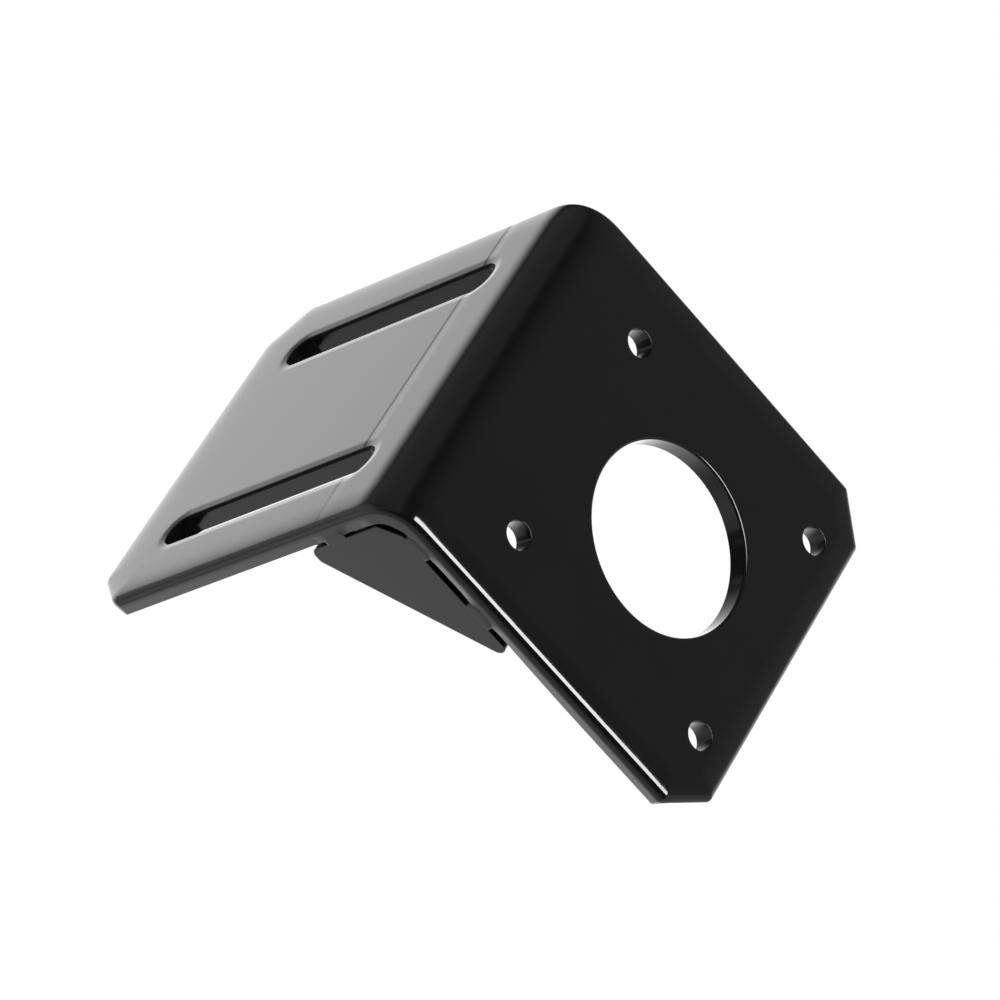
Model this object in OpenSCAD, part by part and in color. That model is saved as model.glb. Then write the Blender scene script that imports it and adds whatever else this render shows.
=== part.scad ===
// Folded steel angle bracket for a 42 mm frame motor: a slotted base leg, an upright motor leg
// with a pilot bore and four screw holes, and a stitch-welded corner gusset at each side.
// Millimetres. X runs across the width, Y along the base leg away from the motor leg, Z up.
// The origin is on the base leg's outer face, below the middle of the bracket.

/* [Folded sheet] */
// Width across both legs
plate_w = 50; // [48:0.5:64]
// Thickness of the sheet
sheet_t = 2.5; // [1.6:0.1:3]
// Length of the base leg, from the motor leg's outer face to its free end
base_l = 54; // [50:0.5:80]
// Inside radius of the bend
bend_r = 2.8; // [2:0.1:4.5]
// Size of the straight cut across each free corner
corner_cut = 5; // [3:0.1:6]
// Rounding that stamping leaves along the outer face's edges
edge_r = 1; // [0.3:0.05:1.3]

/* [Motor mount] */
// Height of the bore's centre above the base leg's outer face
bore_z = 30.6; // [28:0.1:44]
// Distance from the bore's centre up to the motor leg's free edge
free_edge_rise = 21.1; // [19.5:0.1:30]
// Diameter of the bore that takes the motor's pilot
bore_d = 22.2; // [18:0.1:28]
// Rounding at the bore's outer rim
bore_rim_r = 0.3; // [0.1:0.05:0.6]
// Side of the square on which the screw holes lie
screw_pitch = 31; // [28:0.1:34]
// Diameter of each screw hole
screw_d = 3.4; // [2.6:0.1:4.5]
// Rounding at each screw hole's outer rim
screw_rim_r = 0.2; // [0.1:0.05:0.5]

/* [Base slots] */
// Distance between the two slots' centre lines
slot_pitch = 30; // [24:0.5:34]
// Width of each slot between its walls
slot_w = 4.5; // [3.2:0.1:5.5]
// Length of each slot from end to end
slot_l = 35.5; // [20:0.5:37]
// Distance from each slot's end to the base leg's free end
slot_margin = 8.4; // [7:0.1:12]
// Rounding at each slot's outer rim
slot_rim_r = 0.5; // [0.1:0.05:0.6]

/* [Press mark] */
// Distance from the motor leg's outer face to the line that the folding die leaves
mark_y = 12.8; // [11:0.1:16]
// Width of the line
mark_w = 0.3; // [0.15:0.05:0.5]
// Depth of the line
mark_d = 0.05; // [0.03:0.01:0.12]

/* [Gussets] */
// Thickness of each gusset
gusset_t = 2.5; // [1.5:0.1:3.5]
// Fitting gap between a gusset's edges and the two legs
gusset_gap = 0.4; // [0.2:0.05:0.6]
// Length of a gusset's edge along the base leg
gusset_run = 13.1; // [11.5:0.1:22]
// Length of a gusset's edge along the motor leg
gusset_rise = 19.5; // [17:0.1:26]
// Height of the blunt end on the base leg
foot_blunt = 1.7; // [1.2:0.1:3]
// Width of the blunt end on the motor leg
top_blunt = 1.4; // [1.1:0.1:3]
// Radius on the corners of the blunt ends
gusset_tip_r = 0.6; // [0.2:0.05:0.6]
// Clearance between a gusset's cut inner corner and the inside of the bend
relief_gap = 1; // [0.6:0.1:2]

/* [Stitch welds] */
// Length of each stitch
weld_l = 3.9; // [2.8:0.1:4.6]
// Width of a stitch over the flush faces
weld_w = 2.2; // [1.2:0.1:2.4]
// Height of a stitch over the flush faces
weld_crown = 0.1; // [0.08:0.01:0.3]
// Depth to which a stitch fills the fitting gap
weld_depth = 1.5; // [0.8:0.1:2]
// Distance from a gusset's blunt end to the stitch nearest to it
weld_end = 2.7; // [2:0.1:3.5]

/* [Hidden] */
$fn = 96;
fine = 48;
over = 0.5;
half_w = plate_w / 2;
motor_h = bore_z + free_edge_rise;
bend_out = bend_r + sheet_t;
slot_mid = base_l - slot_margin - slot_l / 2;
slot_r = slot_w / 2;
slot_half = slot_l / 2 - slot_r;
// Where the gussets' straight edges lie, off both legs' inner faces
seat = sheet_t + gusset_gap;
foot_end = seat + gusset_run;
top_end = seat + gusset_rise;
// Leg of the 45 degree cut that clears the bend's inside
relief = 2 * (bend_r - gusset_gap) - sqrt(2) * (bend_r - relief_gap);
// Radius of the sphere and cylinder whose cap is a stitch's crown
crown_r = (pow(weld_w / 2, 2) + pow(weld_crown, 2)) / (2 * weld_crown);
paint = [0.11, 0.11, 0.115];

function unit(v) = v / norm(v);
function before(p, i) = p[(i + len(p) - 1) % len(p)];
function after(p, i) = p[(i + 1) % len(p)];
function half_angle(p, i) =
    acos(unit(before(p, i) - p[i]) * unit(after(p, i) - p[i])) / 2;
function blend_points(p, r, i) = r[i] == 0 ? [p[i]] : [
    p[i] + unit(before(p, i) - p[i]) * r[i] / tan(half_angle(p, i)),
    p[i] + unit(after(p, i) - p[i]) * r[i] / tan(half_angle(p, i))
];
function blend_centre(p, r, i) =
    p[i] + unit(unit(before(p, i) - p[i]) + unit(after(p, i) - p[i])) * r[i] / sin(half_angle(p, i));

// Convex outline whose corner i is rounded to the radius r[i].
module blended(p, r) {
    polygon([for (i = [0:len(p) - 1]) each blend_points(p, r, i)]);
    for (i = [0:len(p) - 1])
        if (r[i] > 0)
            translate(blend_centre(p, r, i)) circle(r = r[i]);
}

module both_sides() {
    children();
    mirror([1, 0, 0]) children();
}

// Turns a piece drawn on the base leg into the same piece on the motor leg.
module on_motor_leg() {
    mirror([0, 1, -1]) children();
}

// What a rounding of radius r takes off an edge. The edge is at 0, with X away from
// the sheet's side and Y from the outer face into the sheet.
module edge_section(r) {
    difference() {
        translate([-r, -over]) square([r + over, r + over]);
        translate([-r, r]) circle(r = r, $fn = fine);
    }
}

// Straight rounding, centred, with the sheet's side facing X.
module edge_run(r, l) {
    rotate([90, 0, 0]) linear_extrude(height = l, center = true) edge_section(r);
}

// Rounding at the rim of a round opening with walls at the radius wall.
module rim_ring(r, wall) {
    rotate_extrude() translate([wall, 0]) mirror([1, 0]) edge_section(r);
}

// Rounding at the rim of a slot's end, which faces Y.
module rim_end(r, wall) {
    rotate_extrude(angle = 180)
        translate([wall, 0]) mirror([1, 0]) edge_section(r);
}

// What is cut off a leg of length l: its free corners, and the rounding along its edges.
// The straight roundings run on past the corners and meet there in a mitre.
module leg_cuts(l) {
    side_l = l - corner_cut - bend_out + over;
    both_sides() {
        translate([half_w, l, -over]) linear_extrude(height = sheet_t + 2 * over)
            polygon([
                [-corner_cut - over, over], [over, -corner_cut - over],
                [over, over]
            ]);
        translate([half_w, bend_out + side_l / 2, 0]) edge_run(edge_r, side_l);
        translate([half_w - corner_cut / 2, l - corner_cut / 2, 0])
            rotate([0, 0, 45]) edge_run(edge_r, sqrt(2) * corner_cut + 2 * over);
    }
    translate([0, l, 0]) rotate([0, 0, 90])
        edge_run(edge_r, plate_w - 2 * corner_cut + 2 * over);
}

// Rounding along the bend's two ends.
module bend_cuts() {
    both_sides()
        translate([0, bend_out, bend_out]) rotate([0, 0, 180]) rotate([0, 90, 0])
            rotate_extrude(angle = 90) translate([bend_out, half_w]) rotate(90)
                edge_section(edge_r);
}

module slot_cut() {
    translate([0, 0, -over]) {
        linear_extrude(height = sheet_t + 2 * over) {
            translate([0, slot_half]) circle(r = slot_r);
            translate([0, -slot_half]) circle(r = slot_r);
            square([slot_w, 2 * slot_half], center = true);
        }
    }
    translate([0, slot_half, 0]) rim_end(slot_rim_r, slot_r);
    translate([0, -slot_half, 0]) rotate([0, 0, 180]) rim_end(slot_rim_r, slot_r);
    both_sides()
        translate([-slot_r, 0, 0]) edge_run(slot_rim_r, 2 * slot_half);
}

module round_cut(d, rim) {
    translate([0, 0, -over]) cylinder(d = d, h = sheet_t + 2 * over);
    rim_ring(rim, d / 2);
}

module press_mark() {
    translate([0, mark_y, 0]) rotate([90, 0, 90])
        linear_extrude(height = plate_w + 2 * over, center = true)
            polygon([[-mark_w, -mark_d], [mark_w, -mark_d], [0, mark_d]]);
}

// Section of the folded sheet, with Y to the right.
module fold_section() {
    translate([bend_out, 0]) square([base_l - bend_out, sheet_t]);
    translate([0, bend_out]) square([sheet_t, motor_h - bend_out]);
    difference() {
        intersection() {
            translate([bend_out, bend_out]) circle(r = bend_out);
            square([bend_out, bend_out]);
        }
        translate([bend_out, bend_out]) circle(r = bend_r);
    }
}

module set_in_frame() {
    translate([0, -base_l / 2, 0]) children();
}

module angle_plate() {
    color(paint) set_in_frame() difference() {
        rotate([90, 0, 90]) linear_extrude(height = plate_w, center = true) fold_section();
        leg_cuts(base_l);
        on_motor_leg() leg_cuts(motor_h);
        bend_cuts();
        press_mark();
        for (side = [-1, 1])
            translate([side * slot_pitch / 2, slot_mid, 0]) slot_cut();
        on_motor_leg() {
            translate([0, bore_z, 0]) round_cut(bore_d, bore_rim_r);
            for (side = [-1, 1], level = [-1, 1])
                translate([side * screw_pitch / 2, bore_z + level * screw_pitch / 2, 0])
                    round_cut(screw_d, screw_rim_r);
        }
    }
}

module gusset() {
    points = [
        [seat + relief, seat], [foot_end, seat], [foot_end, seat + foot_blunt],
        [seat + top_blunt, top_end], [seat, top_end], [seat, seat + relief]
    ];
    blends = [0, gusset_tip_r, gusset_tip_r, gusset_tip_r, gusset_tip_r, 0];
    translate([half_w - gusset_t, 0, 0]) rotate([90, 0, 90])
        linear_extrude(height = gusset_t) blended(points, blends);
}

module gusset_right() {
    color(paint) set_in_frame() gusset();
}

module gusset_left() {
    color(paint) set_in_frame() mirror([1, 0, 0]) gusset();
}

// One stitch along Y from 0, in the gap above the base leg: a filled root and a low crown.
module stitch() {
    translate([half_w - weld_depth, 0, sheet_t]) cube([weld_depth, weld_l, gusset_gap]);
    intersection() {
        translate([half_w, -over, sheet_t - weld_w])
            cube([weld_crown + over, weld_l + 2 * over, 2 * weld_w + gusset_gap]);
        translate([half_w + weld_crown - crown_r, weld_w / 2, sheet_t + gusset_gap / 2]) {
            sphere(r = crown_r);
            translate([0, weld_l - weld_w, 0]) sphere(r = crown_r);
            rotate([-90, 0, 0]) cylinder(r = crown_r, h = weld_l - weld_w);
        }
    }
}

module stitches() {
    translate([0, foot_end - weld_end - weld_l, 0]) stitch();
    on_motor_leg() {
        translate([0, seat + relief, 0]) stitch();
        translate([0, top_end - weld_end - weld_l, 0]) stitch();
    }
}

module welds_right() {
    color(paint) set_in_frame() stitches();
}

module welds_left() {
    color(paint) set_in_frame() mirror([1, 0, 0]) stitches();
}

angle_plate();
gusset_right();
gusset_left();
welds_right();
welds_left();
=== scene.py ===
import math

import bmesh
import bpy
from mathutils import Matrix, Vector


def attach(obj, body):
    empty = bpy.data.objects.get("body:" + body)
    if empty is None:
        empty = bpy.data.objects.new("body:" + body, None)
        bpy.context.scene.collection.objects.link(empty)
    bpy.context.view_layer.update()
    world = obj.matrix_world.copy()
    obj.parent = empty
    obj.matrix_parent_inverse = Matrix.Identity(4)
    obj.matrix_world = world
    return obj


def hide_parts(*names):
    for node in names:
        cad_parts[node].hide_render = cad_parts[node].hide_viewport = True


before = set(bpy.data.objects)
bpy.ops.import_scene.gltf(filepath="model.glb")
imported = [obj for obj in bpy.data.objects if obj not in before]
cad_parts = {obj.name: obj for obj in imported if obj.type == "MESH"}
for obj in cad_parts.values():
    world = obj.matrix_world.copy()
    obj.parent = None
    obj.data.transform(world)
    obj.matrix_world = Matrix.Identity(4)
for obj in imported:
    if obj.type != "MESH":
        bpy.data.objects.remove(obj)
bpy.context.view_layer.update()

# Sizes in millimetres. X runs across the width, Y along the base leg away from the motor leg,
# Z up from the base leg's outer face. Y starts at the motor leg's outer face until a piece is
# finished, which moves it into the shared frame and turns it to metres.
MM = 0.001
PLATE_W = 50.0
SHEET_T = 2.5
BASE_L = 54.0
MOTOR_H = 51.7
CORNER_CUT = 5.0
BASE_BLEND = 2.5
MOTOR_BLEND = 0.85
# A sheet bent in a press brake eases into its bend: the outer face's tightest radius, and the
# length over which the curvature builds up
FOLD_R = 5.0
FOLD_EASE = 3.7
# The fold's lines, and the finer steps between them over which its path is summed
FOLD_STEPS = 44
FOLD_SUB = 8
# Cuts take a vertex that lies this close as their own, so no slivers form, and in the fold the
# crossings of two cuts this close become one
NEAR = 0.015
CROSSING = 0.06
# A punched edge, from the outer face inwards: the face sinks a little towards it, rolls over,
# runs square, then breaks back to a small burr-side rounding
SINK = 0.35
SINK_SPREAD = 1.15
SINK_LINES = (1.0, 1.3, 1.7, 2.1, 2.5, 2.9, 3.4, 4.1, 5.0, 6.4)
# On the motor leg the sunk face ends short of the screw holes, more and more over a run past the
# corner
SINK_SHORT = (2.2, 3.4)
SINK_CHANGE = 12.0
ROLLED_R = 0.75
SQUARE = 0.1
BREAK_TURN = 0.35
BREAK_ANGLE = 4.5
BURR_R = 0.06
BURR_STEPS = 3
ROLL_STEPS = 10
# The motor leg's inner edge is dressed back beside the gusset: how deep, how far in from the
# side, how near to the side in full, and the heights over which it starts and fades
DRESSED = 0.35
DRESSED_IN = 1.0
DRESSED_FULL = 0.25
DRESSED_START = (2.0, 6.0)
DRESSED_FADE = (13.0, 33.0)
# The bend and the stitches fill the sheared wall out flush again: each one's share, how far past
# the fold line and the corner the bend's starts and ends, and the depths where it all applies
FILLED = 0.9
BEND_FILLED = 0.95
BEND_START = (9, 5)
BEND_END = (5, 8)
FILL_DEPTH = 1.1
DRESSED_DEPTH = 1.4
BORE_Z = 30.6
BORE_D = 22.2
BORE_RIM = (0.3, 0.3)
SCREW_PITCH = 31.0
SCREW_D = 3.4
SCREW_RIM = (0.07, 0.08)
SLOT_PITCH = 30.0
SLOT_W = 4.5
SLOT_L = 35.5
SLOT_MID = 27.85
SLOT_RIM = (0.2, 0.4)
# The face is drawn in around a slot: where the slope starts to ease, where it ends, and the
# slope, on lines this far apart
SLOT_DRAWN = (0.8, 1.3, 0.14)
DRAWN_STEP = 0.1
DRAWN_LINES = 9
# A slot's wall is dry beyond this share of its end's radius
SLOT_DRY = 0.12
# A flat band on both skins keeps the shading even around an opening
FLAT_BAND = 0.35
# A rim's steep last steps have the wall's finish
STEEP_STEPS = 7
# The press mark: a gentle slope, its deepest line, and a steep one. It fades towards the near
# edge and loses this share of its depth.
MARK = (11.0, 12.75, 13.25)
MARK_LINES = 5
MARK_D = 0.03
MARK_FADES = (16.0, 23.0)
MARK_LOSS = 0.75
GUSSET_T = 2.5
GUSSET_GAP = 0.4
GUSSET_RUN = 13.3
GUSSET_RISE = 19.7
FOOT_BLUNT = 1.7
TOP_BLUNT = 1.4
TIP_R = 0.85
RELIEF = 2.2
INNER_R = 0.4
GUSSET_ROLLED = 0.12
GUSSET_BREAK = 1.0
# Each stitch: where it starts along the gusset's edge and its length
FOOT_STITCH = (9.9, 3.6)
LOW_STITCH = (5.3, 3.8)
HIGH_STITCH = (15.4, 4.1)
WELD_W = 2.3
WELD_CROWN = 0.002
WELD_ROOT = 0.9
WELD_DEPTH = 1.5
# A bead narrows and stops wandering this near to its ends
WELD_ENDS = 1.1
WELD_WANDER = 0.12
WELD_SKIRT = 0.45

# The number of each finish on a mesh, and a mark for the outer skin while the blank is cut
ON_FACE, ON_SHEAR, ON_PUNCH, ON_SLOT_END, ON_SCREW_HOLE, OUTER_SKIN = range(6)
HALF_W = PLATE_W / 2
SEAT = SHEET_T + GUSSET_GAP
FOOT_END = SEAT + GUSSET_RUN
TOP_END = SEAT + GUSSET_RISE


def srgb(hex_colour):
    """Turns an sRGB hex colour into the linear colour that the shaders take."""
    parts = [int(hex_colour[i:i + 2], 16) / 255 for i in (1, 3, 5)]
    return [c / 12.92 if c <= 0.04045 else ((c + 0.055) / 1.055) ** 2.4 for c in parts] + [1.0]


def add(tree, kind, inputs=None, **settings):
    """Adds one node, sets its properties, and sets or links its inputs."""
    made = tree.nodes.new(kind)
    for key, value in settings.items():
        setattr(made, key, value)
    for key, value in (inputs or {}).items():
        if isinstance(value, bpy.types.NodeSocket):
            tree.links.new(value, made.inputs[key])
        else:
            made.inputs[key].default_value = value
    return made


def of_kind(kind, geom):
    """The elements of one kind in an operator's result."""
    return [g for g in geom if isinstance(g, kind)]


def ease(value, low, high):
    """0 below low, 1 above high, and a smooth rise between them."""
    share = min(1.0, max(0.0, (value - low) / (high - low)))
    return share * share * (3 - 2 * share)


# ---- Sheet metal

def outline_face(bm, corners, radii):
    """A flat face with each corner rounded to its own radius."""
    face = bm.faces.new([bm.verts.new((x, y, 0)) for x, y in corners])
    for vert, radius in zip(list(face.verts), radii):
        if radius > 0:
            ways = [(e.other_vert(vert).co - vert.co).normalized() for e in vert.link_edges]
            reach = radius / math.tan(ways[0].angle(ways[1]) / 2)
            bmesh.ops.bevel(bm, geom=[vert], offset=reach, offset_type="OFFSET", segments=8,
                            profile=0.5, affect="VERTICES", material=-1)
    bm.faces.ensure_lookup_table()
    return bm.faces[0]


def shape_rim(bm, face, spots):
    """Carries the rim of a free face through the given places, each inwards and outwards."""
    for a, b in zip(spots, spots[1:]):
        bmesh.ops.inset_individual(bm, faces=[face], use_even_offset=True,
                                   thickness=b[0] - a[0], depth=b[1] - a[1])


def rounding(radius, steps):
    """A quarter round from a wall to a face."""
    turn = [math.pi / 2 * i / steps for i in range(steps + 1)]
    return [(radius * (1 - math.cos(a)), radius * math.sin(a)) for a in turn]


def drop(inward, sink):
    """How far the outer face has sunk at a distance in from the edge."""
    return sink * math.exp(-inward / SINK_SPREAD)


def rolled_rim(radius, sink):
    """From the wall over the rolled edge, which sinks with the face."""
    return [(a, b + sink - drop(a, sink)) for a, b in rounding(radius, ROLL_STEPS)]


def in_from_edge(point, corners, radii):
    """How far a point of the blank lies in from its rounded outline."""
    found = 1e9
    for number, corner in enumerate(corners):
        back = Vector(corners[number - 1]) - Vector(corner)
        on = Vector(corners[(number + 1) % len(corners)]) - Vector(corner)
        away = point - Vector(corner)
        found = min(found, abs(on.normalized().cross(away)))
        half = back.angle(on) / 2
        way = (back.normalized() + on.normalized()).normalized()
        out = away - way * radii[number] / math.sin(half)
        if -out.dot(way) > out.length * math.sin(half) and out.length > 1e-6:
            return radii[number] - out.length
    return found


def broken_wall(height, turn, angle, burr):
    """From a square wall down a sheared one, which turns in by an angle, to the burr side."""
    slope = math.tan(math.radians(angle))
    spots = [(turn * slope / 2 * (i / 4) ** 2, turn * i / 4) for i in range(5)]
    straight = height - turn - burr
    spots.append((spots[-1][0] + straight * slope, turn + straight))
    x, z = spots[-1]
    return spots + [(x + a, z + b) for a, b in rounding(burr, BURR_STEPS)[1:]]


def drawn_in(inward):
    """The punch draws the face in around a slot: how far, at a distance from the wall."""
    near, far, slope = SLOT_DRAWN
    return (slope * max(0, near - inward)
            + slope * (far - min(far, max(near, inward))) ** 2 / (far - near) / 2)


def punch(bm, x, y, radius, half_straight, rim, finish_index):
    """The wall of a round hole or a slot, from its rolled rim down to its burr side.

    The steep part of the rim and the wall have the stated finish. On a slot the rim and both
    ends are dry instead."""
    walls = []
    count = 128 if radius > 5 else 72
    turn = [math.pi / 2 * i / ROLL_STEPS for i in range(ROLL_STEPS + 1)]
    spots = [(rim[0] * (1 - math.sin(a)), rim[1] * (1 - math.cos(a))) for a in turn]
    if half_straight:
        spots = [(rim[0] + DRAWN_STEP * i, 0) for i in range(DRAWN_LINES, 0, -1)] + spots
        spots = [(a, b + drawn_in(a)) for a, b in spots]
    spots = [(spots[0][0] + FLAT_BAND, 0)] + spots
    spots = [(radius + a, b) for a, b in spots]
    wall = len(spots)
    spots += [(radius + a, SHEET_T - BURR_R + b) for a, b in rounding(BURR_R, BURR_STEPS)]
    spots.append((radius + BURR_R + FLAT_BAND, SHEET_T))
    ring = bmesh.ops.create_circle(
        bm, cap_ends=False, radius=1.0, segments=count,
        matrix=Matrix.Rotation(math.pi / count, 4, "Z"))["verts"]
    for vert in ring:
        vert.co += Vector((x, y + math.copysign(half_straight, vert.co.y), 0))
    edges = first = list({e for v in ring for e in v.link_edges})
    for number, (r, height) in enumerate(spots):
        if number:
            new = bmesh.ops.extrude_edge_only(bm, edges=edges)["geom"]
            ring = of_kind(bmesh.types.BMVert, new)
            edges = [e for e in of_kind(bmesh.types.BMEdge, new)
                     if e.verts[0] in ring and e.verts[1] in ring]
            for face in of_kind(bmesh.types.BMFace, new):
                inside = wall - STEEP_STEPS <= number < len(spots) - 1
                dry = half_straight and number < wall
                finish_here = ON_SLOT_END if dry else finish_index
                face.material_index = finish_here if inside else ON_FACE
                walls.append(face)
        for vert in ring:
            middle = Vector((x, y + math.copysign(half_straight, vert.co.y - y)))
            way = (vert.co.xy - middle).normalized()
            vert.co = (*(middle + way * r), height)
    for face in walls:
        centre = face.calc_center_median()
        if half_straight and abs(centre.y - y) > half_straight + SLOT_DRY * radius:
            face.material_index = ON_SLOT_END if face.material_index else ON_FACE
    return first, edges


def stamped_blank(corners, radii, thickness, rolled, sink, angle, openings=()):
    """A stamped flat blank between z = 0, its rolled outer face, and z = thickness.

    An opening is a centre x and y, a radius, half of its straight, its rim's width and
    depth, and the number of its wall's finish."""
    top = rolled + sink
    outer_middle = sum((Vector((*c, 0)) for c in corners), Vector()) / len(corners)
    bm = bmesh.new()
    outer = outline_face(bm, corners, radii)
    outer.normal_update()
    if outer.normal.z > 0:
        outer.normal_flip()
    bmesh.ops.translate(bm, verts=outer.verts, vec=(0, 0, top))
    walls = bmesh.ops.extrude_edge_only(bm, edges=list(outer.edges))["geom"]
    low = of_kind(bmesh.types.BMVert, walls)
    bmesh.ops.translate(bm, verts=low, vec=(0, 0, SQUARE))
    rim = [e for e in bm.edges if e.verts[0] in low and e.verts[1] in low]
    inner = bmesh.ops.contextual_create(bm, geom=rim)["faces"][0]
    for face in bm.faces:
        face.material_index = ON_SHEAR
    outer.material_index = inner.material_index = ON_FACE
    inner.normal_update()
    if inner.normal.z < 0:
        inner.normal_flip()
    shape_rim(bm, outer, rolled_rim(rolled, sink))
    shape_rim(bm, inner, broken_wall(thickness - top - SQUARE, BREAK_TURN, angle, BURR_R))
    if openings:
        skins = [(-1, list(outer.edges)), (1, list(inner.edges))]
        bmesh.ops.delete(bm, geom=[outer, inner], context="FACES_ONLY")
        for opening in openings:
            first, last = punch(bm, *opening)
            skins[0][1].extend(first)
            skins[1][1].extend(last)
        for way, edges in skins:
            new = bmesh.ops.triangle_fill(bm, use_beauty=True, edges=edges, normal=(0, 0, way))
            for face in of_kind(bmesh.types.BMFace, new["geom"]):
                face.material_index = OUTER_SKIN if way < 0 else ON_FACE
        for number, corner in enumerate(corners):
            along = Vector(corners[(number + 1) % len(corners)]) - Vector(corner)
            square = Vector((along.y, -along.x, 0)).normalized()
            if square.dot(Vector((*corner, 0)) - outer_middle) > 0:
                square = -square
            for inward in SINK_LINES:
                skin = [f for f in bm.faces if f.material_index == OUTER_SKIN]
                geom = {e for f in skin for e in f.edges} | {v for f in skin for v in f.verts}
                bmesh.ops.bisect_plane(bm, geom=skin + list(geom), dist=NEAR, plane_no=square,
                                       plane_co=Vector((*corner, 0)) + square * inward)
        for vert in {v for f in bm.faces if f.material_index == OUTER_SKIN for v in f.verts}:
            inward = in_from_edge(vert.co.xy, corners, radii)
            short = 1 - ease(inward, *SINK_SHORT) * ease(-vert.co.y, 0, SINK_CHANGE)
            vert.co.z = drop(inward, sink) * short
    return bm


def fold_path():
    """Where the outer face runs through the fold, from the base leg up, and how it is turned."""
    length = FOLD_R * math.pi / 2 + FOLD_EASE
    share = length / FOLD_STEPS / FOLD_SUB

    def heading(s):
        if s < FOLD_EASE:
            return s * s / (2 * FOLD_R * FOLD_EASE)
        if s < length - FOLD_EASE:
            return (s - FOLD_EASE / 2) / FOLD_R
        return math.pi / 2 - (length - s) ** 2 / (2 * FOLD_R * FOLD_EASE)

    y = z = 0.0
    path = [(y, z, 0.0)]
    for number in range(FOLD_STEPS * FOLD_SUB):
        angle = heading((number + 0.5) * share)
        y -= math.cos(angle) * share
        z += math.sin(angle) * share
        if (number + 1) % FOLD_SUB == 0:
            path.append((y, z, heading((number + 1) * share)))
    reach = -y
    return length, reach, [(y + reach, z, angle) for y, z, angle in path]


def fold(bm, length, reach, path):
    """Bends the flat blank up about its fold."""
    for vert in bm.verts:
        x, y, depth = vert.co
        if y > reach - 1e-6:
            continue
        if y < reach - length + 1e-6:
            vert.co = (x, depth, 2 * reach - length - y)
            continue
        py, pz, angle = path[round((reach - y) / length * FOLD_STEPS)]
        vert.co = (x, py + depth * math.sin(angle), pz + depth * math.cos(angle))


def cut_across(bm, y):
    """Adds a line of edges right across the blank."""
    bmesh.ops.bisect_plane(bm, geom=bm.verts[:] + bm.edges[:] + bm.faces[:], dist=NEAR,
                           plane_co=(0, y, 0), plane_no=(0, 1, 0))


def finish(name, bm, materials, nodes):
    """Puts a finished mesh into the shared frame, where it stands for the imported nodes."""
    bmesh.ops.translate(bm, verts=bm.verts, vec=(0, -BASE_L / 2, 0))
    bmesh.ops.scale(bm, verts=bm.verts, vec=(MM, MM, MM))
    bmesh.ops.recalc_face_normals(bm, faces=bm.faces)
    for face in bm.faces:
        face.smooth = True
    mesh = bpy.data.meshes.new(name)
    bm.to_mesh(mesh)
    bm.free()
    obj = bpy.data.objects.new(name, mesh)
    bpy.context.scene.collection.objects.link(obj)
    for material in materials:
        mesh.materials.append(material)
    even = obj.modifiers.new("flats_stay_flat", "WEIGHTED_NORMAL")
    even.mode = "FACE_AREA"
    even.weight = 50
    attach(obj, "root")
    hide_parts(*nodes)
    return obj


def dress_edges(bm, length, reach):
    """Dresses back the motor leg's inner edges along the gussets, and fills the sheared wall
    out at the bend and the stitches."""
    fold_line = 2 * reach - length
    for side in (-1, 1):
        bmesh.ops.bisect_plane(bm, geom=bm.verts[:] + bm.edges[:] + bm.faces[:], dist=NEAR,
                               plane_co=(side * (HALF_W - DRESSED_IN), 0, 0),
                               plane_no=(1, 0, 0))
    for height in range(11, 34, 3):
        cut_across(bm, fold_line - height)
    spans = [(start, start + length) for start, length in
             (FOOT_STITCH, (fold_line - HIGH_STITCH[0] - HIGH_STITCH[1], HIGH_STITCH[1]),
              (fold_line - LOW_STITCH[0] - LOW_STITCH[1], LOW_STITCH[1]))]
    for low, high in spans:
        for number in range(-2, 10):
            line = low + (high - low) * number / 7
            if not reach - length - 0.05 < line < reach + 0.05:
                cut_across(bm, line)
    for vert in bm.verts:
        x, y, depth = vert.co
        height = fold_line - y
        back = DRESSED * ease(height, *DRESSED_START) * (1 - ease(height, *DRESSED_FADE))
        back *= ease(abs(x), HALF_W - DRESSED_IN, HALF_W - DRESSED_FULL)
        fill = BEND_FILLED * ease(y, fold_line - BEND_START[0], fold_line - BEND_START[1])
        fill *= 1 - ease(y, *BEND_END)
        for low, high in spans:
            fill = max(fill, FILLED * ease(y, low - 1, low + 0.7)
                       * (1 - ease(y, high - 0.7, high + (2 if y > reach else 1))))
        if depth > FILL_DEPTH and HALF_W - abs(x) < 0.3:
            vert.co.x = math.copysign(HALF_W - (HALF_W - abs(x)) * (1 - fill), x)
        vert.co.z -= back * ease(depth, DRESSED_DEPTH, SHEET_T)


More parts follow.
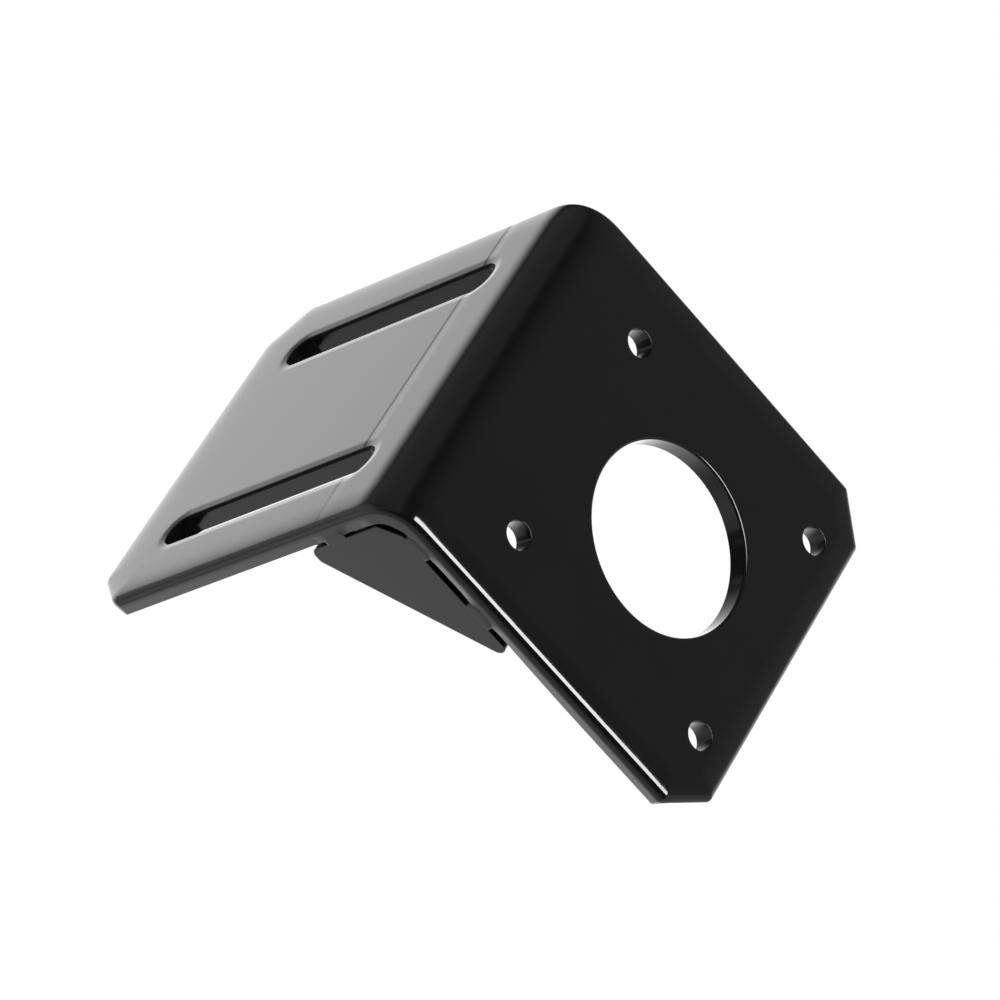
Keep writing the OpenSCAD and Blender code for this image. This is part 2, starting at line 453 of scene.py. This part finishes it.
def folded_sheet():
    """Both legs in one: the stamped blank with its openings and its press mark, folded up."""
    length, reach, path = fold_path()
    end = 2 * reach - length - MOTOR_H
    cut = HALF_W - CORNER_CUT
    corners = [(-HALF_W, BASE_L - CORNER_CUT), (-cut, BASE_L), (cut, BASE_L),
               (HALF_W, BASE_L - CORNER_CUT), (HALF_W, end + CORNER_CUT), (cut, end),
               (-cut, end), (-HALF_W, end + CORNER_CUT)]
    bore_y = 2 * reach - length - BORE_Z
    openings = [(0, bore_y, BORE_D / 2, 0, BORE_RIM, ON_PUNCH)]
    for side in (-1, 1):
        for level in (-1, 1):
            openings.append((side * SCREW_PITCH / 2, bore_y + level * SCREW_PITCH / 2,
                             SCREW_D / 2, 0, SCREW_RIM, ON_SCREW_HOLE))
        openings.append((side * SLOT_PITCH / 2, SLOT_MID, SLOT_W / 2,
                         (SLOT_L - SLOT_W) / 2, SLOT_RIM, ON_PUNCH))
    bm = stamped_blank(corners, [BASE_BLEND] * 4 + [MOTOR_BLEND] * 4, SHEET_T, ROLLED_R, SINK,
                       BREAK_ANGLE, openings)
    for number in range(FOLD_STEPS + 1):
        cut_across(bm, reach - length * number / FOLD_STEPS)
    # No slivers where the cuts cross in the fold
    crossings = [v for v in bm.verts if v.co.z < 0.15 and abs(v.co.x) < HALF_W - 1.5
                 and reach - length - 0.1 < v.co.y < reach + 0.1]
    bmesh.ops.remove_doubles(bm, verts=crossings, dist=CROSSING)
    for low, high in zip(MARK, MARK[1:]):
        for number in range(MARK_LINES + 1):
            cut_across(bm, low + (high - low) / MARK_LINES * number)
    for vert in bm.verts:
        if vert.co.z < 0.6 and abs(vert.co.x) < HALF_W - 0.5:
            deep = MARK_D * (1 - MARK_LOSS * ease(vert.co.x, *MARK_FADES))
            vert.co.z += deep * (ease(vert.co.y, *MARK[:2]) - ease(vert.co.y, *MARK[1:]))
    for face in bm.faces:
        if face.material_index == OUTER_SKIN:
            face.material_index = ON_FACE
    dress_edges(bm, length, reach)
    fold(bm, length, reach, path)
    return bm


def gusset(side):
    """The triangular plate at one side of the corner, with blunt ends and a cut inner corner."""
    corners = [(SEAT + RELIEF, SEAT), (FOOT_END, SEAT), (FOOT_END, SEAT + FOOT_BLUNT),
               (SEAT + TOP_BLUNT, TOP_END), (SEAT, TOP_END), (SEAT, SEAT + RELIEF)]
    bm = stamped_blank(corners, [INNER_R, TIP_R, TIP_R, TIP_R, TIP_R, INNER_R], GUSSET_T,
                       GUSSET_ROLLED, 0.0, GUSSET_BREAK)
    # The flat outline's axes become Y and Z, and its rolled face looks out from the bracket
    stand = Matrix(((0, 0, -side, side * HALF_W), (1, 0, 0, 0), (0, 1, 0, 0), (0, 0, 0, 1)))
    bmesh.ops.transform(bm, matrix=stand, verts=bm.verts)
    return bm


# ---- Stitch welds

def stitch(bm, side, start, length, upright, seed):
    """One stitch in the gap, dressed flush: it feathers out into both faces over its root."""
    cap = bmesh.ops.create_grid(bm, x_segments=56, y_segments=32, size=1.0)["verts"]
    low = SHEET_T + GUSSET_GAP / 2
    for vert in cap:
        p, q = vert.co.x, vert.co.y
        from_end = length / 2 * (1 - abs(p))
        # The bead wanders a little and narrows to the gap, where its ends roll in
        width = WELD_W / 2 * (1 - 0.7 * (1 - ease(from_end, 0, WELD_ENDS)))
        wander = WELD_WANDER * math.sin(2.6 * p + seed) * ease(from_end, 0, WELD_ENDS)
        height = WELD_CROWN - 0.008 * ease(abs(q), 0.2, 1.0) - 0.02 * ease(abs(q), 0.93, 1.0)
        height -= 0.3 * (1 - ease(from_end, 0, 0.35)) ** 2
        across = low + width * q + wander
        vert.co = (side * (HALF_W + height), start + length / 2 * (1 + p), across)
    rim = [e for e in bm.edges if e.is_boundary and e.verts[0] in cap]
    new = of_kind(bmesh.types.BMVert, bmesh.ops.extrude_edge_only(bm, edges=rim)["geom"])
    for vert in new:
        vert.co.x = side * (HALF_W - WELD_SKIRT)
    skirt = [e for e in bm.edges if e.is_boundary and e.verts[0] in new]
    bmesh.ops.contextual_create(bm, geom=skirt)
    root = bmesh.ops.create_cube(bm, size=1.0)["verts"]
    bmesh.ops.scale(bm, verts=root, vec=(WELD_DEPTH, length - 0.9, WELD_ROOT))
    bmesh.ops.translate(bm, verts=root, vec=(
        side * (HALF_W - WELD_DEPTH / 2 - 0.1), start + length / 2, low))
    if upright:
        for vert in set(cap) | set(new) | set(root):
            vert.co.y, vert.co.z = vert.co.z, vert.co.y
    else:
        # The foot's stitch runs on along the back as far as the toe
        back = bmesh.ops.create_cube(bm, size=1.0)["verts"]
        bmesh.ops.scale(bm, verts=back, vec=(1.5, FOOT_END - start - length, GUSSET_GAP + 0.1))
        bmesh.ops.translate(bm, verts=back, vec=(
            side * (HALF_W - 1.55), (start + length + FOOT_END) / 2 - 0.3, low))


def stitches(side):
    """The three stitches that hold one gusset."""
    bm = bmesh.new()
    for number, (start, length) in enumerate((FOOT_STITCH, LOW_STITCH, HIGH_STITCH)):
        part = bmesh.new()
        stitch(part, side, start, length, number > 0, number * 2.1 + side)
        mesh = bpy.data.meshes.new("stitch")
        part.to_mesh(mesh)
        part.free()
        bm.from_mesh(mesh)
        bpy.data.meshes.remove(mesh)
    return bm


# ---- Finishes

def stoved_enamel(name, gloss_low, gloss_high, sheen=0.5):
    """Black stoving enamel, sprayed: a hard gloss that shows the light's soft edge, with the
    faint orange peel of a spray gun and a slightly cloudy gloss. Inside the openings it is
    given a duller gloss and less sheen."""
    material = bpy.data.materials.new(name)
    material.use_nodes = True
    tree = material.node_tree
    tree.nodes.clear()
    place = add(tree, "ShaderNodeTexCoord").outputs["Object"]
    # Orange peel: waves about 1.2 mm apart. Specks: dust nibs about 0.3 mm across.
    peel = add(tree, "ShaderNodeTexNoise", {"Vector": place, "Scale": 1 / (1.2 * MM),
                                            "Detail": 2.0, "Roughness": 0.5})
    nibs = add(tree, "ShaderNodeTexNoise", {"Vector": place, "Scale": 1 / (0.3 * MM),
                                            "Detail": 2.0, "Roughness": 0.6})
    cloud = add(tree, "ShaderNodeTexNoise", {"Vector": place, "Scale": 1 / (9 * MM),
                                             "Detail": 3.0, "Roughness": 0.55})
    gloss = add(tree, "ShaderNodeMapRange", {"Value": cloud.outputs["Fac"], "From Min": 0.3,
                                             "From Max": 0.7, "To Min": gloss_low,
                                             "To Max": gloss_high})
    tone = add(tree, "ShaderNodeMix", {"Factor": cloud.outputs["Fac"],
                                       "A": srgb("#070708"), "B": srgb("#0A0A0A")},
               data_type="RGBA")
    coarse = add(tree, "ShaderNodeBump", {"Strength": 0.5, "Distance": 0.0045 * MM,
                                          "Height": peel.outputs["Fac"]})
    fine = add(tree, "ShaderNodeBump", {"Strength": 0.5, "Distance": 0.0012 * MM,
                                        "Height": nibs.outputs["Fac"],
                                        "Normal": coarse.outputs["Normal"]})
    shader = add(tree, "ShaderNodeBsdfPrincipled", {
        "Base Color": tone.outputs["Result"], "Roughness": gloss.outputs["Result"],
        "Normal": fine.outputs["Normal"], "IOR": 1.5, "Metallic": 0.0,
        "Specular IOR Level": sheen})
    add(tree, "ShaderNodeOutputMaterial", {"Surface": shader.outputs["BSDF"]})
    return material


ENAMEL = stoved_enamel("stoved_black_enamel", 0.06, 0.085)
SHEARED = stoved_enamel("enamel_over_sheared_edge", 0.08, 0.11)
PUNCHED = stoved_enamel("thin_enamel_on_punched_walls", 0.13, 0.18, 0.3)
DRILLED = stoved_enamel("thin_enamel_in_screw_holes", 0.16, 0.22, 0.32)
DRY = stoved_enamel("dry_overspray_in_slot_ends", 0.6, 0.7, 0.08)

finish("folded_sheet", folded_sheet(), [ENAMEL, SHEARED, PUNCHED, DRY, DRILLED],
       ["angle_plate"])
for side, word in ((1, "right"), (-1, "left")):
    finish("gusset_plate_" + word, gusset(side), [ENAMEL, SHEARED], ["gusset_" + word])
    finish("stitch_welds_" + word, stitches(side), [ENAMEL], ["welds_" + word])


# ---- Camera

CAMERA_PLACE = Vector((0.399626, -0.490288, -0.202572))
CAMERA_AIM = Vector((-0.005553, -0.003222, 0.021969))
CAMERA_ROLL = 137.948
LENS = 217.03

camera_data = bpy.data.cameras.new("camera")
camera_data.lens = LENS
camera_data.sensor_width = 36.0
camera_data.clip_start = 0.01
camera_data.clip_end = 50.0
camera = bpy.data.objects.new("camera", camera_data)
turn = (CAMERA_AIM - CAMERA_PLACE).to_track_quat("-Z", "Y").to_matrix()
roll = Matrix.Rotation(math.radians(CAMERA_ROLL), 3, "Z")
camera.matrix_world = Matrix.Translation(CAMERA_PLACE) @ (turn @ roll).to_4x4()
bpy.context.scene.collection.objects.link(camera)
bpy.context.scene.camera = camera


# ---- Studio

# Soft light fields: azimuth and elevation, the angles from there at which one is still full and
# at which it is gone, and its strength. All are in degrees but the last.
LIGHT_FIELDS = (
    (116, 8, 18, 50, 1.97),
    (68, -30, 15, 46, 0.5),
    (84, 18, 10, 36, 2.1),
    (30, 18, 10, 65, 0.52),
    (-165, 15, 10, 55, 0.22),
    (180, 50, 10, 34, 1.0),
    (0, -90, 45, 62, 0.2),
    (0, 90, 30, 70, 0.5))
ROOM_LIGHT = 0.04
# The photograph looks from below, so the floor lies far under the part
FLOOR_HALF = 6.0
FLOOR_DROP = 0.6


def direction(azimuth, elevation):
    """The unit vector towards an azimuth and an elevation in degrees."""
    az, el = math.radians(azimuth), math.radians(elevation)
    return Vector((math.cos(az) * math.cos(el), math.sin(az) * math.cos(el), math.sin(el)))


def studio_world():
    """A pale room: soft light fields all round, and plain white where the camera looks."""
    world = bpy.data.worlds.new("studio")
    world.use_nodes = True
    tree = world.node_tree
    tree.nodes.clear()
    way = add(tree, "ShaderNodeTexCoord").outputs["Generated"]
    total = None
    for azimuth, elevation, full, none, strength in LIGHT_FIELDS:
        axis = direction(azimuth, elevation)
        near = add(tree, "ShaderNodeVectorMath", {0: way, 1: axis}, operation="DOT_PRODUCT")
        soft = add(tree, "ShaderNodeMapRange", {
            "Value": near.outputs["Value"], "From Min": math.cos(math.radians(none)),
            "From Max": math.cos(math.radians(full)), "To Min": 0.0, "To Max": strength},
            interpolation_type="SMOOTHSTEP")
        if total is None:
            total = soft.outputs["Result"]
        else:
            total = add(tree, "ShaderNodeMath", {0: total, 1: soft.outputs["Result"]},
                        operation="ADD").outputs["Value"]
    total = add(tree, "ShaderNodeMath", {0: total, 1: ROOM_LIGHT},
                operation="ADD").outputs["Value"]
    room = add(tree, "ShaderNodeBackground", {"Color": (1, 1, 1, 1), "Strength": total})
    white = add(tree, "ShaderNodeBackground", {"Color": (1, 1, 1, 1), "Strength": 1.0})
    rays = add(tree, "ShaderNodeLightPath")
    pick = add(tree, "ShaderNodeMixShader", {0: rays.outputs["Is Camera Ray"],
                                             1: room.outputs[0], 2: white.outputs[0]})
    add(tree, "ShaderNodeOutputWorld", {"Surface": pick.outputs[0]})
    bpy.context.scene.world = world


def soft_box(name, azimuth, elevation, distance, width, height, power):
    """A soft box that looks at the bracket from the stated direction."""
    data = bpy.data.lights.new(name, "AREA")
    data.shape = "RECTANGLE"
    data.size, data.size_y = width, height
    data.energy = power
    light = bpy.data.objects.new(name, data)
    way = direction(azimuth, elevation)
    light.matrix_world = (Matrix.Translation(way * distance)
                          @ way.to_track_quat("Z", "Y").to_matrix().to_4x4())
    light.visible_camera = False
    bpy.context.scene.collection.objects.link(light)


studio_world()
soft_box("key_strip", azimuth=-101, elevation=10, distance=1.2, width=0.47, height=0.643,
         power=18.5)

floor_bm = bmesh.new()
bmesh.ops.create_grid(floor_bm, x_segments=1, y_segments=1, size=FLOOR_HALF)
bmesh.ops.translate(floor_bm, verts=floor_bm.verts, vec=(0, 0, -FLOOR_DROP))
floor_mesh = bpy.data.meshes.new("floor")
floor_bm.to_mesh(floor_mesh)
floor_bm.free()
floor = bpy.data.objects.new("floor", floor_mesh)
bpy.context.scene.collection.objects.link(floor)
floor_paint = bpy.data.materials.new("pale_studio_floor")
floor_paint.use_nodes = True
floor_shader = floor_paint.node_tree.nodes["Principled BSDF"]
floor_shader.inputs["Base Color"].default_value = srgb("#F4F4F4")
floor_shader.inputs["Roughness"].default_value = 0.9
floor_mesh.materials.append(floor_paint)
floor.visible_glossy = False

bpy.context.scene.view_settings.view_transform = "Standard"
